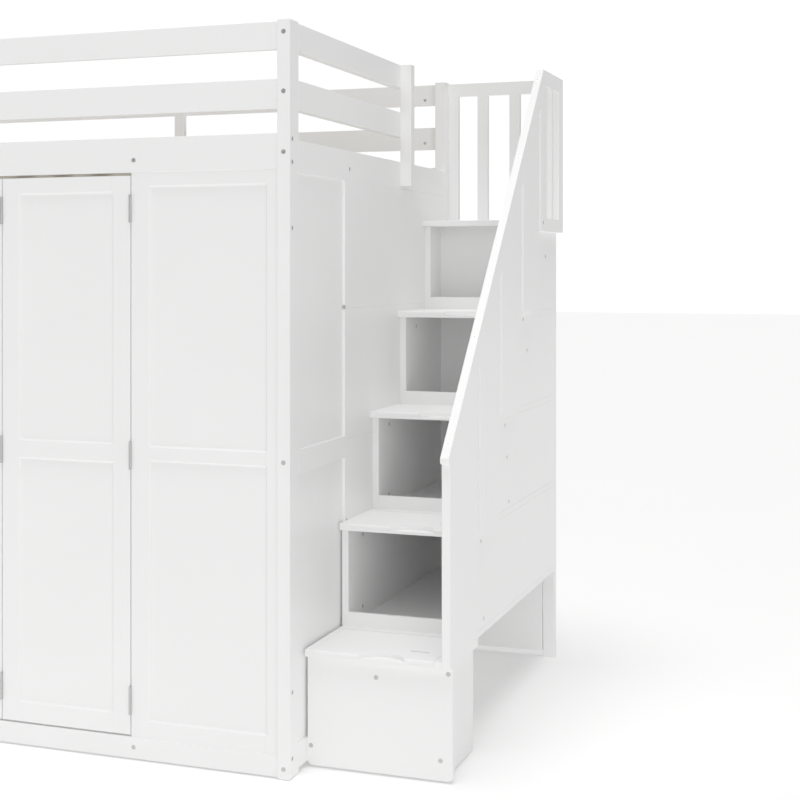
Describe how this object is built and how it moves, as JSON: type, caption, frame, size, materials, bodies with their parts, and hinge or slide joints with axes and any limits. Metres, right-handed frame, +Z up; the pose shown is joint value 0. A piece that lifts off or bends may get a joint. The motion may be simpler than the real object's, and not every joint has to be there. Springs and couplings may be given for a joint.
{
  "type": "loft bed",
  "caption": "Painted loft bed over a wardrobe with folding doors, with a storage stair, lift-up treads, handrail and guarded platform on its right end.",
  "frame": {"origin": "on the floor, at the middle of the whole object's footprint", "axes": "+X along the bed towards the stair, -Y towards the front with the doors, +Z up"},
  "size_m": [2.37, 1.471, 1.904],
  "materials": {
    "white_paint": "white satin paint on pine and board",
    "pine": "planed, unpainted",
    "zinc_steel": "zinc plated",
    "hinge_steel": "satin"
  },
  "bodies": {
    "bed_and_stair": {"bed_slats": "pine", "bolts_screws_and_nuts": "zinc_steel", "centre_beam": "pine", "cubby_backs_and_lips": "white_paint", "end_guard_rails": "white_paint", "end_wall_bay_panels": "white_paint", "end_wall_boards_low_and_high": "white_paint", "end_wall_boards_middle": "white_paint", "end_wall_rails": "white_paint", "entry_post": "white_paint", "fixed_front_panels": "white_paint", "fixed_front_rails": "white_paint", "fixed_front_stiles": "white_paint", "frame_hinge_leaves": "hinge_steel", "front_guard_rails": "white_paint", "front_posts": "white_paint", "guard_struts": "white_paint", "handrail": "white_paint", "hanging_rod": "zinc_steel", "kick_rail": "white_paint", "lid_pins": "hinge_steel", "platform_board": "white_paint", "platform_guard_rails": "white_paint", "platform_guard_uprights": "white_paint", "rear_guard_rails": "white_paint", "rear_posts": "white_paint", "rear_wall_panels": "white_paint", "rear_wall_rails": "white_paint", "rear_wall_stiles": "white_paint", "side_rails": "white_paint", "slat_cleats": "pine", "stair_box_floor_and_glides": "white_paint", "stair_box_front_and_back": "white_paint", "stair_left_sides": "white_paint", "stair_outer_boards": "white_paint", "stair_rear_panel_and_post": "white_paint", "stair_right_sides": "white_paint", "tread_decks": "white_paint", "tread_ledges": "white_paint", "tread_side_strips": "white_paint", "wardrobe_dividers": "white_paint"},
    "folding_door_inner": {"door_a_stiles": "white_paint", "door_a_rails": "white_paint", "door_a_panels": "white_paint", "jamb_hinge_door_leaves": "hinge_steel", "fold_hinge_outer_leaves": "hinge_steel"},
    "folding_door_outer": {"door_b_stiles": "white_paint", "door_b_rails": "white_paint", "door_b_panels": "white_paint", "door_b_knob": "white_paint", "fold_hinge_inner_leaves": "hinge_steel"},
    "left_door": {"door_c_stiles": "white_paint", "door_c_rails": "white_paint", "door_c_panels": "white_paint", "door_c_knob": "white_paint", "left_hinge_door_leaves": "hinge_steel"},
    "lid_1": {"tread_lid_1": "white_paint"},
    "lid_2": {"tread_lid_2": "white_paint"},
    "lid_3": {"tread_lid_3": "white_paint"},
    "lid_4": {"tread_lid_4": "white_paint"}
  },
  "joints": [
    {"name": "jamb_hinge", "type": "hinge", "parent": "bed_and_stair", "child": "folding_door_inner", "pos_m": [0.35, -0.7155, 0.793], "axis": [0, 0, 1], "range_deg": [0, 90]},
    {"name": "fold_hinge", "type": "hinge", "parent": "folding_door_inner", "child": "folding_door_outer", "pos_m": [-0.04, -0.7155, 0.793], "axis": [0, 0, 1], "range_deg": [0, 160]},
    {"name": "left_door_hinge", "type": "hinge", "parent": "bed_and_stair", "child": "left_door", "pos_m": [-0.82, -0.7155, 0.793], "axis": [0, 0, -1], "range_deg": [0, 105]},
    {"name": "lid_hinge_1", "type": "hinge", "parent": "bed_and_stair", "child": "lid_1", "pos_m": [0.9815, -0.3715, 0.3007], "axis": [-1, 0, 0], "range_deg": [0, 80]},
    {"name": "lid_hinge_2", "type": "hinge", "parent": "bed_and_stair", "child": "lid_2", "pos_m": [0.9815, -0.112, 0.5822], "axis": [-1, 0, 0], "range_deg": [0, 80]},
    {"name": "lid_hinge_3", "type": "hinge", "parent": "bed_and_stair", "child": "lid_3", "pos_m": [0.9815, 0.1475, 0.8637], "axis": [-1, 0, 0], "range_deg": [0, 80]},
    {"name": "lid_hinge_4", "type": "hinge", "parent": "bed_and_stair", "child": "lid_4", "pos_m": [0.9815, 0.407, 1.1452], "axis": [-1, 0, 0], "range_deg": [0, 80]}
  ]
}
